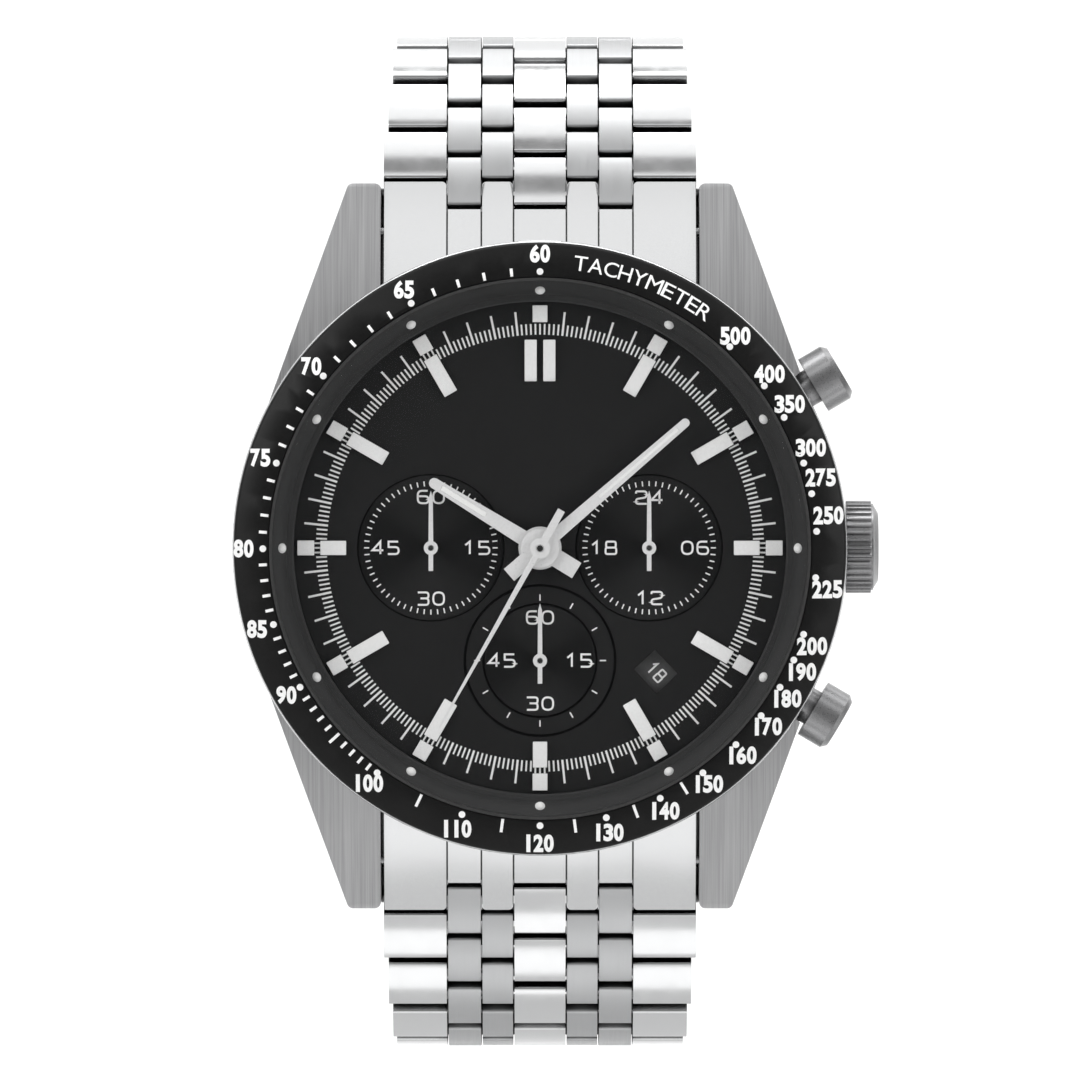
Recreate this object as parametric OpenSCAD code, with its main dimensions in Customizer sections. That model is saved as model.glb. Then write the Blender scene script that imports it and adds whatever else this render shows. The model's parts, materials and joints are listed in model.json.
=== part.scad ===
// Chronograph wristwatch on a seven-column steel bracelet.
// Each piece is drawn dial up: x to 3 o'clock, y to 12 o'clock, z out of the dial,
// with z = 0 on the outer face of the case back. place() then stands the watch up
// so that +Z points to 12 o'clock and the dial faces -Y.

/* [Case] */
// Outer radius of the bezel
bezel_r = 21.4; // [21.3:0.05:21.5]
// Radius of the round part of the case
drum_r = 20.9; // [20.7:0.1:21]
// Height of the round part of the case above the case back
drum_top = 7.9; // [7.8:0.1:8]
// Distance from the centre to the lug tips
lug_tip_y = 25.4; // [25.3:0.1:25.6]
// Gap between the lugs
lug_gap = 22.3; // [22.2:0.1:22.4]
// Width across the lugs at their tips
lug_span = 26.8; // [26.6:0.1:27]

/* [Dial and hands] */
// Radius of the dial plate
dial_r = 17.6; // [17.4:0.1:17.7]
// Distance from the dial centre to the side subdials
side_subdial_x = 7.6; // [7.5:0.05:7.7]
// Distance from the dial centre to the lower subdial
low_subdial_y = 7.85; // [7.8:0.05:7.9]
// Angle of the hour hand, clockwise from 12
hour_angle = 301.5; // [0:0.5:360]
// Angle of the minute hand, clockwise from 12
minute_angle = 49.2; // [0:0.1:360]
// Angle of the chronograph seconds hand, clockwise from 12
chrono_angle = 209.3; // [0:0.1:360]

/* [Crown and pushers] */
// Diameter of the crown
crown_d = 6.44; // [6.2:0.02:6.6]
// Number of flutes round the crown
crown_flutes = 36; // [30:2:40]
// Angle of each pusher above and below 3 o'clock
pusher_angle = 30.6; // [30:0.1:31]
// Diameter of a pusher cap
pusher_d = 4.2; // [4:0.05:4.3]

/* [Bracelet] */
// Distance between neighbouring pins
pin_step = 2.125; // [2.12:0.005:2.13]
// Radius of a link's round ends
link_end_r = 0.985; // [0.97:0.005:0.99]
// Height of a link's outer face above its pins
link_outer = 1.2; // [1.1:0.05:1.2]
// Radius of the link pins
pin_r = 0.4; // [0.35:0.05:0.45]
// Half-width of the outer column at the first row
first_half_width = 10.95; // [10.9:0.05:11]
// Half-width of the outer column at the last row
last_half_width = 9.2; // [9.15:0.05:9.2]

/* [Hidden] */
$fn = 64;
eps = 0.01;
run_gap = 0.02;
part_gap = 0.05;
steel = [0.78, 0.79, 0.8];
satin = [0.62, 0.63, 0.64];
black = [0.07, 0.07, 0.07];
white = [0.93, 0.93, 0.92];
brass = [0.78, 0.66, 0.36];

// Heights, from the case back up
back_flange_top = 0.95;
bore_r = 17.7;
upper_bore_r = 18.85;
dial_z = 6.95;
dial_t = 0.4;
dial_top = dial_z + dial_t;
crystal_z = 9.4;
crystal_t = 1.1;
crystal_r = 18.6;
bezel_top = 10.1;
insert_r = 21.26;
hand_t = 0.18;
hour_z = 8.02;
minute_z = 8.42;
chrono_z = 8.82;
small_hand_z = 7.7;
small_hand_t = 0.15;
date_ring_r = 10.2;

// Lugs
lug_arc_r = 60;
lug_arc_z = 7.4 - lug_arc_r;
lug_corner_r = 0.45;
stem_z = 4.3;
pusher_cap_x = 22.17;
pusher_cap_t = 1.78;

// Bracelet: slopes of the half rows below the dial plane, from the case to the clasp
slopes = [31, 34, 36, 39.5, 47.5, 59.5, 71, 82, 88, 90, 93.5, 97.5,
          102, 107.5, 113, 119, 125.5, 132, 139, 146.5, 154, 161.5, 169.5, 178];
row_count = 12;
first_pin = [24.15, 0.9];
end_link_slope = 24;
column_x = [1.85, 4.1, 6.5];
end_link_half = 10.9;
end_link_drop = 0.12;
shoulder_drop = 1.3;
finger_corner_r = 0.4;
spring_bar_y = 21.95;
spring_bar_z = 1.35;

link_corner_r = 0.22;
link_dome_r = 13;
link_setback = 0.08;

// Clasp, measured from the pin line at the back of the bracelet
clasp_end_y = 15.8;
middle_pin = [14.9, -0.25];
inner_pin = [-13, 0.1];
blade_t = 0.6;
inner_blade_end_y = 15.3;

function pin_y(k) = k == 0 ? first_pin[0] : pin_y(k - 1) + pin_step * cos(slopes[k - 1]);
function pin_z(k) = k == 0 ? first_pin[1] : pin_z(k - 1) - pin_step * sin(slopes[k - 1]);
function row_half_width(i) =
    last_half_width + (first_half_width - last_half_width) * pow((row_count - i) / (row_count - 1), 2);
function arc_points(cx, cy, r, a0, a1, n) =
    [for (i = [0:n]) [cx + r * cos(a0 + (a1 - a0) * i / n), cy + r * sin(a0 + (a1 - a0) * i / n)]];

clasp_pin_y = pin_y(2 * row_count);
clasp_z = pin_z(2 * row_count);

// ---- shared helpers ----

// Stands the dial-up drawing on its edge
module place() { rotate([90, 0, 0]) children(); }

// Extrudes a (y, z) outline along x between two values
module along_x(x0, x1) {
    translate([x0, 0, 0]) rotate([90, 0, 90]) linear_extrude(x1 - x0) children();
}

module rod_x(x0, x1, y, z, r) {
    translate([x0, y, z]) rotate([0, 90, 0]) cylinder(h = x1 - x0, r = r);
}

module ring(r_in, r_out, z0, z1, n = 128) {
    rotate_extrude($fn = n) translate([r_in, z0]) square([r_out - r_in, z1 - z0]);
}

// Turns a piece clockwise by a dial angle
module clockwise(a) { rotate([0, 0, -a]) children(); }

module both_ends() {
    children();
    mirror([0, 1, 0]) children();
}

// ---- case ----

// Plan outline of the four lugs: straight flanks and rounded tips
module lug_plan() {
    half = lug_span / 2;
    offset(r = lug_corner_r) offset(delta = -lug_corner_r) difference() {
        polygon([[half, lug_tip_y], [18.9, 10.1], [19.8, 7.75], [19.8, -7.75], [18.9, -10.1],
                 [half, -lug_tip_y], [-half, -lug_tip_y], [-18.9, -10.1], [-19.8, -7.75],
                 [-19.8, 7.75], [-18.9, 10.1], [-half, lug_tip_y]]);
        both_ends() translate([-lug_gap / 2, 14]) square([lug_gap, 14]);
    }
}

// Side outline of the lugs: flat below the case, dropping to the tips
module lug_side() {
    polygon([[-lug_tip_y, -1.3], [-23.6, -1.5], [-18.6, 0.75], [18.6, 0.75], [23.6, -1.5],
             [lug_tip_y, -1.3], [lug_tip_y, 9], [-lug_tip_y, 9]]);
}

module lugs() {
    intersection() {
        translate([0, 0, -2]) linear_extrude(11) lug_plan();
        along_x(-22, 22) lug_side();
        rod_x(-23, 23, 0, lug_arc_z, lug_arc_r, $fn = 360);
    }
}

module pusher_axis(side) {
    rotate([0, 0, side * pusher_angle]) translate([0, 0, stem_z]) rotate([0, 90, 0]) children();
}

module case_middle() {
    color(steel) place() difference() {
        union() {
            translate([0, 0, 0.7]) cylinder(h = drum_top - 0.7, r = drum_r, $fn = 180);
            lugs();
        }
        both_ends() difference() {
            translate([-lug_gap / 2, 14, -3]) cube([lug_gap, 14, 14]);
            translate([0, 0, -4]) cylinder(h = 20, r = 20.4, $fn = 180);
        }
        translate([0, 0, -1]) cylinder(h = 1 + back_flange_top + part_gap, r = 18.45, $fn = 128);
        cylinder(h = 20, r = bore_r, $fn = 128);
        translate([0, 0, dial_z - part_gap]) cylinder(h = 5, r = upper_bore_r, $fn = 128);
        both_ends() rod_x(-12.6, 12.6, spring_bar_y, spring_bar_z, 0.45);
        translate([15, 0, stem_z]) rotate([0, 90, 0]) cylinder(h = 8, r = 1.22);
        translate([20.6, 0, stem_z]) rotate([0, 90, 0]) cylinder(h = 4, r = 1.75);
        for (side = [-1, 1]) pusher_axis(side) {
            translate([0, 0, 15]) cylinder(h = 8, r = 1.72);
            translate([0, 0, 21.2]) cylinder(h = 4, r = pusher_d / 2 + 0.15);
        }
    }
}

module case_back() {
    color(steel) place() difference() {
        union() {
            cylinder(h = back_flange_top, r = 18.4, $fn = 128);
            ring(16.2, 17.2, back_flange_top - eps, 1.7);
        }
        for (a = [0:60:300]) rotate([0, 0, a]) translate([17.2, -0.9, -eps]) cube([2, 1.8, 0.4]);
    }
}

// Case-back gasket and crystal gasket
module gaskets() {
    color(black) place() {
        ring(17.25, 17.65, 1.05, 1.55);
        ring(crystal_r + run_gap, upper_bore_r - run_gap, crystal_z, 10.3);
    }
}

module bezel_ring() {
    color(steel) place() rotate_extrude($fn = 180)
        polygon([[upper_bore_r, 7.95], [21.1, 7.95], [bezel_r, 8.2], [bezel_r, 8.85],
                 [insert_r + 0.03, 9.05], [insert_r + 0.03, 8.76], [19.02, 9.5],
                 [upper_bore_r, 9.5]]);
}

module bezel_insert() {
    color(black) place() rotate_extrude($fn = 180)
        polygon([[upper_bore_r + run_gap, 9.52], [19.05, 9.52], [insert_r, 8.8], [insert_r, 9.12],
                 [insert_r - 0.2, 9.3], [19.2, bezel_top], [upper_bore_r + run_gap, bezel_top]]);
}

module crystal() {
    color([0.85, 0.9, 0.92, 0.3]) place() rotate_extrude($fn = 180)
        polygon([[0, crystal_z], [crystal_r, crystal_z], [crystal_r, crystal_z + 0.85],
                 [crystal_r - 0.35, crystal_z + crystal_t], [0, crystal_z + crystal_t]]);
}

module flange_ring() {
    color([0.22, 0.22, 0.22]) place() rotate_extrude($fn = 180)
        polygon([[17.15, dial_top], [18.75, dial_top], [18.75, 9.3], [18.6, 9.3],
                 [17.7, 8.35], [17.65, 8.15], [17.25, 8.1], [17.15, 8]]);
}

// ---- dial ----

module subdial_places() {
    translate([-side_subdial_x, 0, 0]) children();
    translate([side_subdial_x, 0, 0]) children();
    translate([0, -low_subdial_y, 0]) children();
}

module date_window_plan(grow = 0) {
    clockwise(136.9) translate([0, 11.8]) rotate(90) square([2.3 + grow, 2 + grow], center = true);
}

module dial() {
    color([0.1, 0.1, 0.1]) place() difference() {
        translate([0, 0, dial_z]) cylinder(h = dial_t, r = dial_r, $fn = 180);
        translate([0, 0, dial_z - 1]) cylinder(h = 3, r = 1.05);
        subdial_places() translate([0, 0, dial_z - 1]) cylinder(h = 3, r = 0.3);
        for (x = [-side_subdial_x, side_subdial_x])
            translate([x, 0, dial_top - 0.12]) cylinder(h = 1, r = 5.15, $fn = 96);
        translate([0, -low_subdial_y, 0]) {
            ring(5.14, 5.34, dial_top - 0.1, dial_top + 1, 96);
            ring(3.86, 4.02, dial_top - 0.1, dial_top + 1, 96);
        }
        translate([0, 0, dial_z - 1]) linear_extrude(3) date_window_plan();
    }
}

// A bar whose inner end slopes down to the dial
module index_bar(r_in, r_out, width, slope_len) {
    rotate([90, 0, 90]) translate([0, 0, -width / 2]) linear_extrude(width)
        polygon([[r_in, dial_top], [r_out, dial_top], [r_out, dial_top + 0.42],
                 [r_in + slope_len, dial_top + 0.42], [r_in, dial_top + 0.12]]);
}

module hour_indices() {
    color(white) place() for (h = [0:11]) clockwise(h * 30) {
        index_bar(15.72, 16.9, 1.04, 0);
        if (h % 3 != 0) index_bar(12.4, 15.3, 1, 0.75);
        if (h % 3 == 0 && h > 0) index_bar(13.5, 15.3, 1, 0);
        if (h == 0) for (x = [-0.65, 0.65]) translate([x, 0, 0]) index_bar(11.6, 14.5, 0.85, 0.75);
    }
}

// ---- movement ----

module movement_holder() {
    color([0.85, 0.85, 0.83]) place() difference() {
        ring(14.4, 17.4, 1.8, 6.5);
        translate([13, 0, stem_z]) rotate([0, 90, 0]) cylinder(h = 6, r = 0.9);
        for (side = [-1, 1]) pusher_axis(side) translate([0, 0, 13]) cylinder(h = 6, r = 1.45);
    }
}

module main_plate() {
    color(brass) place() difference() {
        translate([0, 0, 5]) cylinder(h = 1.3, r = 14.2, $fn = 96);
        translate([0, 0, 4]) cylinder(h = 4, r = 1.05);
        subdial_places() translate([0, 0, 4]) cylinder(h = 4, r = 0.3);
        minute_wheel_place() translate([0, 0, 4]) cylinder(h = 4, r = 0.25);
    }
}

module train_bridge() {
    color(satin) place() difference() {
        intersection() {
            translate([0, 0, 1.9]) cylinder(h = 0.7, r = 13.8, $fn = 96);
            translate([-11, -12, 1]) cube([24, 17, 3]);
        }
        translate([0, 0, 1]) cylinder(h = 4, r = 0.3);
        subdial_places() translate([0, 0, 1]) cylinder(h = 4, r = 0.3);
    }
}

module battery() {
    color(steel) place() translate([-4.8, 9.1, 1.9]) {
        cylinder(h = 2.1, r = 3.9);
        translate([0, 0, 2.1 - eps]) cylinder(h = 0.6, r = 3.3);
    }
}

// Circuit board with its crystal can, and three step-motor coils on their cores
module coils_and_circuit() {
    place() {
        color([0.1, 0.35, 0.2]) intersection() {
            translate([0, 0, 4.55]) cylinder(h = 0.3, r = 13.9, $fn = 96);
            translate([0, 5.2, 4]) cube([13, 9, 3]);
        }
        color([0.72, 0.4, 0.2]) for (y = [7, 9.2, 11.4]) rod_x(2, 7.2, y, 3.4, 0.8);
    }
}

// Tubes that the crown's stem and the two pushers run in
module case_tubes() {
    color(steel) place() {
        difference() {
            translate([17.9, 0, stem_z]) rotate([0, 90, 0]) cylinder(h = 3.5, r = 1.2);
            translate([17, 0, stem_z]) rotate([0, 90, 0]) cylinder(h = 5, r = 0.62);
        }
        for (side = [-1, 1]) pusher_axis(side) translate([0, 0, 18]) difference() {
            cylinder(h = 3.15, r = 1.7);
            translate([0, 0, -1]) cylinder(h = 6, r = 1.3);
        }
    }
}

// Outline of a wheel with straight-sided teeth
module gear_plan(teeth, r_root, r_tip) {
    step = 360 / teeth;
    polygon([for (i = [0:teeth - 1], p = [[-0.3, r_root], [-0.14, r_tip], [0.14, r_tip], [0.3, r_root]])
             p[1] * [cos((i + p[0]) * step), sin((i + p[0]) * step)]]);
}

// A hand with a lume slot: width w0 at the centre and w1 at the tip
module hand_plan(length, w0, w1, tail, tail_w, slot) {
    difference() {
        union() {
            polygon([[-w0 / 2, 0], [-w1 / 2, length - w1 / 2], [w1 / 2, length - w1 / 2], [w0 / 2, 0]]);
            translate([0, length - w1 / 2]) circle(d = w1 * 0.999);
            translate([-tail_w / 2, -tail]) square([tail_w, tail]);
        }
        translate([-slot[2] / 2, slot[0]]) square([slot[2], slot[1] - slot[0]]);
    }
}

module hour_hand() {
    color(white) place() difference() {
        union() {
            translate([0, 0, hour_z]) clockwise(hour_angle) {
                linear_extrude(hand_t) hand_plan(9, 1.12, 0.74, 3, 1.25, [4.4, 8.05, 0.38]);
                cylinder(h = hand_t, r = 1.5);
            }
            translate([0, 0, 6.9]) cylinder(h = hour_z - 6.9 + eps, r = 0.95);
        }
        translate([0, 0, 6]) cylinder(h = 4, r = 0.6);
    }
}

hour_teeth = 40;
minute_pinion_teeth = 10;
cannon_teeth = 12;
minute_wheel_teeth = 36;
train_distance = 3.6;

module hour_wheel() {
    color(brass) place() difference() {
        union() {
            translate([0, 0, 6.35]) linear_extrude(0.2) gear_plan(hour_teeth, 2.72, 2.98);
            translate([0, 0, 6.35]) cylinder(h = 0.54, r = 0.95);
        }
        translate([0, 0, 6]) cylinder(h = 4, r = 0.6);
    }
}

module minute_wheel_place() {
    translate([train_distance * cos(30), train_distance * sin(30), 0]) children();
}

// The motion-work wheel under the dial, with its pinion driving the hour wheel
module minute_wheel() {
    color(brass) place() minute_wheel_place() {
        translate([0, 0, 4.62]) linear_extrude(0.2)
            rotate(30) gear_plan(minute_wheel_teeth, 2.58, 2.82);
        translate([0, 0, 4.8]) cylinder(h = 1.6, r = 0.22);
        translate([0, 0, 6.33]) linear_extrude(0.24)
            rotate(30) gear_plan(minute_pinion_teeth, 0.5, 0.8);
    }
}

// Minute hand on its cannon pinion
module minute_hand() {
    color(white) place() difference() {
        union() {
            translate([0, 0, minute_z]) clockwise(minute_angle) {
                linear_extrude(hand_t) hand_plan(13.65, 0.9, 0.62, 2.85, 1.1, [5.4, 12.7, 0.24]);
                cylinder(h = hand_t, r = 1.35);
            }
            translate([0, 0, 4.4]) cylinder(h = minute_z - 4.4 + eps, r = 0.55);
            translate([0, 0, 4.55]) linear_extrude(0.34)
                rotate(15) gear_plan(cannon_teeth, 0.72, 0.98);
        }
        translate([0, 0, 4]) cylinder(h = 8, r = 0.3);
    }
}

module chrono_seconds_hand() {
    color(white) place() {
        translate([0, 0, chrono_z]) clockwise(chrono_angle) {
            linear_extrude(hand_t) {
                polygon([[-0.21, 0], [-0.07, 14.3], [0.07, 14.3], [0.21, 0]]);
                translate([-0.27, -3.05]) square([0.54, 3.05]);
            }
            cylinder(h = hand_t, r = 0.7);
        }
        translate([0, 0, 2]) cylinder(h = chrono_z - 2 + hand_t + 0.08, r = 0.25);
        translate([0, 0, 3.2]) linear_extrude(0.2) gear_plan(48, 2.3, 2.5);
    }
}

// A small hand with its arbor and wheel
module small_hand(x, y) {
    color(white) place() translate([x, y, 0]) {
        translate([0, 0, small_hand_z]) {
            linear_extrude(small_hand_t) {
                polygon([[-0.17, 0], [-0.14, 3.5], [0, 4], [0.14, 3.5], [0.17, 0]]);
                translate([-0.16, -1.6]) square([0.32, 1.6]);
            }
            cylinder(h = small_hand_t, r = 0.49);
        }
        translate([0, 0, 2]) cylinder(h = small_hand_z - 2 + 0.2, r = 0.2);
        translate([0, 0, 3.6]) linear_extrude(0.2) gear_plan(40, 2.1, 2.3);
    }
}

module minute_counter_hand() { small_hand(-side_subdial_x, 0); }
module hour24_hand() { small_hand(side_subdial_x, 0); }
module small_seconds_hand() { small_hand(0, -low_subdial_y); }

module date_ring() {
    color([0.26, 0.26, 0.26]) place() difference() {
        ring(date_ring_r, 13.3, 6.45, 6.7);
        for (i = [0:30]) rotate([0, 0, i * 360 / 31])
            translate([date_ring_r - part_gap, 0, 6]) cylinder(h = 1, r = 0.35);
    }
}

// ---- crown and pushers ----

module crown() {
    color(steel) place() translate([0, 0, stem_z]) rotate([0, 90, 0]) difference() {
        union() {
            translate([0, 0, 21.35]) cylinder(h = 1.9, r = crown_d / 2 - 0.2);
            translate([0, 0, 21.35]) linear_extrude(1.75)
                gear_plan(crown_flutes, crown_d / 2 - 0.16, crown_d / 2);
            translate([0, 0, 23.24])
                cylinder(h = 0.36, r1 = crown_d / 2 - 0.24, r2 = crown_d / 2 - 0.85, $fn = 96);
        }
        translate([0, 0, 21]) cylinder(h = 0.9, r = 1.3);
        translate([0, 0, 21]) cylinder(h = 1.65, r = 0.58);
    }
}

module crown_stem() {
    color(steel) place() translate([0, 0, stem_z]) rotate([0, 90, 0]) {
        translate([0, 0, 13.5]) cylinder(h = 9.1, r = 0.56);
        translate([0, 0, 11.5]) cylinder(h = 2.1, r = 0.35);
        translate([0, 0, 10]) cylinder(h = 1.6, r = 0.56);
    }
}

// Forked lever whose fork holds the groove of the stem
module setting_lever() {
    color(steel) place() translate([12.1, 0, 3.3]) difference() {
        translate([-0.3, -1, 0]) cube([0.6, 5, 1.6]);
        translate([-1, -0.38, 0.62]) cube([2, 0.76, 2]);
    }
}

module pusher(side) {
    color(satin) place() pusher_axis(side) {
        translate([0, 0, pusher_cap_x]) cylinder(h = pusher_cap_t, r = pusher_d / 2);
        translate([0, 0, pusher_cap_x + pusher_cap_t - eps])
            cylinder(h = 0.36, r1 = pusher_d / 2, r2 = pusher_d / 2 - 0.34);
        translate([0, 0, 17.6]) cylinder(h = 4.8, r = 1.27);
        translate([0, 0, 15.4]) cylinder(h = 2.3, r = 0.6);
    }
}

module pusher_upper() { pusher(1); }
module pusher_lower() { pusher(-1); }

// ---- bracelet ----

// Side outline of a link: round under each pin, slightly domed outside with small corners
function link_outline(len) = let (
    c = link_corner_r, mid = len / 2, reach = mid + link_end_r - link_setback,
    r = link_dome_r, a = asin((reach - c) / (r - c)), corner_z = link_outer - r + (r - c) * cos(a))
    concat(
        arc_points(0, 0, link_end_r, 180, 270, 6),
        arc_points(len, 0, link_end_r, 270, 360, 6),
        arc_points(mid + reach - c, corner_z, c, 0, 90 - a, 3),
        arc_points(mid, link_outer - r, r, 90 - 0.75 * a, 90 + 0.75 * a, 6),
        arc_points(mid - reach + c, corner_z, c, 90 + a, 180, 3));

// One link piece between pins k and k + 1, from x0 to x1
module link_piece(k, x0, x1) {
    translate([0, pin_y(k), pin_z(k)]) rotate([-slopes[k], 0, 0])
        along_x(x0, x1) polygon(link_outline(pin_step));
}

module pin_bore(k) { rod_x(-13, 13, pin_y(k), pin_z(k), pin_r + run_gap); }
module pin(k, half) { rod_x(-half, half, pin_y(k), pin_z(k), pin_r); }

// Short pieces of a row: columns 2, 4 and 6
module inner_columns(k) {
    g = part_gap;
    link_piece(k, -column_x[0] + g, column_x[0] - g);
    link_piece(k, column_x[1] + g, column_x[2] - g);
    link_piece(k, -column_x[2] + g, -column_x[1] - g);
}

// Columns 1, 3, 5 and 7
module outer_columns(k, half) {
    g = part_gap;
    for (s = [0, 1]) mirror([s, 0, 0]) {
        link_piece(k, column_x[0] + g, column_x[1] - g);
        link_piece(k, column_x[2] + g, half);
    }
}

module row(i) {
    k = 2 * i - 2;
    half = row_half_width(i);
    difference() {
        union() {
            inner_columns(k);
            outer_columns(k + 1, half);
        }
        for (j = [k, k + 1, k + 2]) pin_bore(j);
    }
    pin(k, half - 0.1);
    pin(k + 1, half - 0.1);
}

// Knuckles of the clasp's inner end, on the last pin of the upper chain
module end_knuckles() {
    difference() {
        for (c = [[-column_x[0], column_x[0]], [column_x[1], column_x[2]],
                  [-column_x[2], -column_x[1]]])
            along_x(c[0] + part_gap, c[1] - part_gap) translate([clasp_pin_y, clasp_z]) {
                circle(r = link_end_r);
                translate([-1.1, -1.15]) square([1.1, 1.9]);
            }
        pin_bore(2 * row_count);
    }
}

module upper_row(i) {
    color(steel) place() {
        row(i);
        if (i == row_count) {
            pin(2 * i, row_half_width(i) - 0.1);
            end_knuckles();
        }
    }
}

module lower_row(i) { color(steel) place() mirror([0, 1, 0]) row(i); }

// Side outline of an end link, round about its last pin
function end_link_outline() = let (
    s = end_link_slope, p = first_pin, r = link_end_r,
    d = [cos(s), -sin(s)], n = [sin(s), cos(s)]) concat(
    [[16.5, 8], [16.5, 2.8], [20.8, 0.35], [22, 0.1]],
    arc_points(p[0], p[1], r, -105, -s, 6),
    [p + r * d + 1.1 * n, p + (r - 0.15) * d + 1.6 * n, [20, 8]]);

// Block of an end link whose top lies a little under the lugs' arc
module end_link_body(half, drop) {
    intersection() {
        along_x(-half, half) polygon(end_link_outline());
        rod_x(-23, 23, 0, lug_arc_z, lug_arc_r - drop, $fn = 360);
    }
}

// Narrow at the top, with shoulders below that fill the gap between the lugs
module end_link() {
    difference() {
        union() {
            end_link_body(end_link_half, end_link_drop);
            end_link_body(lug_gap / 2 - run_gap, shoulder_drop);
        }
        translate([0, 0, -4]) cylinder(h = 20, r = 20.5, $fn = 180);
        for (x = [-5.3, 0, 5.3]) end_recess(x);
        for (x = [-column_x[2], -column_x[1], -column_x[0], column_x[0], column_x[1], column_x[2]])
            end_groove(x);
        pin_bore(0);
        rod_x(-13, 13, spring_bar_y, spring_bar_z, 0.62);
    }
}

// Room for the first row's short pieces between the end link's fingers, whose corners are round
module end_recess(x) {
    half = (x == 0 ? column_x[0] : (column_x[2] - column_x[1]) / 2) + part_gap / 2;
    reach = link_end_r + 0.3;
    translate([x, first_pin[0], first_pin[1]]) rotate([-slopes[0], 0, 0])
        translate([-half, -reach, -3]) cube([2 * half, 5, 6]);
    for (s = [0, 1]) translate([x, 0, 0]) mirror([s, 0, 0]) finger_corner(half);
}

// What is left outside a rounded corner, to be cut away
module finger_corner(half) {
    r = finger_corner_r;
    translate([half, first_pin[0], first_pin[1]]) rotate([-end_link_slope, 0, 0])
        translate([0, link_end_r - r, -1]) linear_extrude(4) difference() {
            translate([-0.1, 0]) square([r + 0.1, r + 0.2]);
            translate([r, 0]) circle(r = r);
        }
}

module end_groove(x) {
    difference() {
        translate([x - 0.06, 16, 0]) cube([0.12, 12, 8]);
        rod_x(-23, 23, 0, lug_arc_z, lug_arc_r - 0.45, $fn = 360);
    }
}

module end_links() { color(steel) place() both_ends() end_link(); }

// Sprung bars that hold the end links between the lugs
module spring_bars() {
    color(steel) place() both_ends() {
        rod_x(-10.6, 10.6, spring_bar_y, spring_bar_z, 0.6);
        rod_x(-12.4, -10.59, spring_bar_y, spring_bar_z, 0.4);
        rod_x(10.59, 12.4, spring_bar_y, spring_bar_z, 0.4);
    }
}

// ---- clasp ----

// Moves a drawing to the pin line at the back of the bracelet
module at_clasp() { color(steel) place() translate([0, 0, clasp_z]) children(); }

module clasp_cover() {
    hinge_y = -clasp_pin_y;
    cover_y = hinge_y + 1.3;
    half = 9.2;
    wall = 0.95;
    at_clasp() {
        difference() {
            union() {
                translate([-half, cover_y, -1.7]) cube([2 * half, clasp_end_y - cover_y, 0.75]);
                for (s = [0, 1]) mirror([s, 0, 0])
                    translate([half - wall, cover_y, -1]) cube([wall, clasp_end_y - cover_y, 1.3]);
                for (c = [[-column_x[0], column_x[0]], [column_x[1], column_x[2]],
                          [-column_x[2], -column_x[1]]])
                    along_x(c[0] + part_gap, c[1] - part_gap) union() {
                        translate([hinge_y, 0]) circle(r = link_end_r);
                        translate([hinge_y, -1.2]) square([2.2, 2]);
                    }
            }
            rod_x(-13, 13, hinge_y, 0, pin_r + run_gap);
            rod_x(-8.9, 8.9, middle_pin[0], middle_pin[1], 0.3 + run_gap);
            for (s = [0, 1]) mirror([s, 0, 0])
                translate([half - wall - 0.1, 8, -0.75]) cube([2, 4, 0.8]);
        }
        rod_x(-9.1, 9.1, hinge_y, 0, pin_r);
        rod_x(-8.8, 8.8, middle_pin[0], middle_pin[1], 0.3);
    }
}

module clasp_middle_blade() {
    at_clasp() difference() {
        union() {
            rod_x(-4, 4, middle_pin[0], middle_pin[1], 0.58);
            translate([-4, -12.2, -0.55]) cube([8, middle_pin[0] + 12.2, blade_t]);
            translate([-2, inner_pin[0], -0.5]) cube([4, 1, blade_t]);
            rod_x(-2, 2, inner_pin[0], inner_pin[1], 0.6);
        }
        rod_x(-5, 5, middle_pin[0], middle_pin[1], 0.3 + run_gap);
        rod_x(-5, 5, inner_pin[0], inner_pin[1], 0.3 + run_gap);
        for (y = [-6, 0, 6]) translate([0, y, -1]) cylinder(h = 2, r = 1.4);
    }
}

module clasp_inner_blade() {
    at_clasp() {
        difference() {
            union() {
                for (s = [0, 1]) mirror([s, 0, 0]) {
                    rod_x(2.1, 4.5, inner_pin[0], inner_pin[1], 0.6);
                    translate([2.1, inner_pin[0], 0.2]) cube([2.4, 2, 0.5]);
                }
                translate([-6.5, inner_pin[0] + 1.2, 0.2])
                    cube([13, inner_blade_end_y - inner_pin[0] - 1.2, blade_t]);
            }
            translate([-4.2, middle_pin[0] - 0.8, 0]) cube([8.4, 3, 2]);
            rod_x(-5, 5, inner_pin[0], inner_pin[1], 0.3 + run_gap);
            translate([-3, -6, 0]) cube([6, 14, 2]);
        }
        rod_x(-4.4, 4.4, inner_pin[0], inner_pin[1], 0.3);
    }
}

// A button in the cover's side wall, with a flange that keeps it in
module clasp_button(s) {
    at_clasp() mirror([s, 0, 0]) {
        translate([7.9, 8.05, -0.7]) cube([1.9, 3.9, 0.7]);
        translate([7.45, 7.5, -0.7]) cube([0.5, 5, 0.7]);
    }
}

module clasp_button_left() { clasp_button(1); }
module clasp_button_right() { clasp_button(0); }

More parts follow.
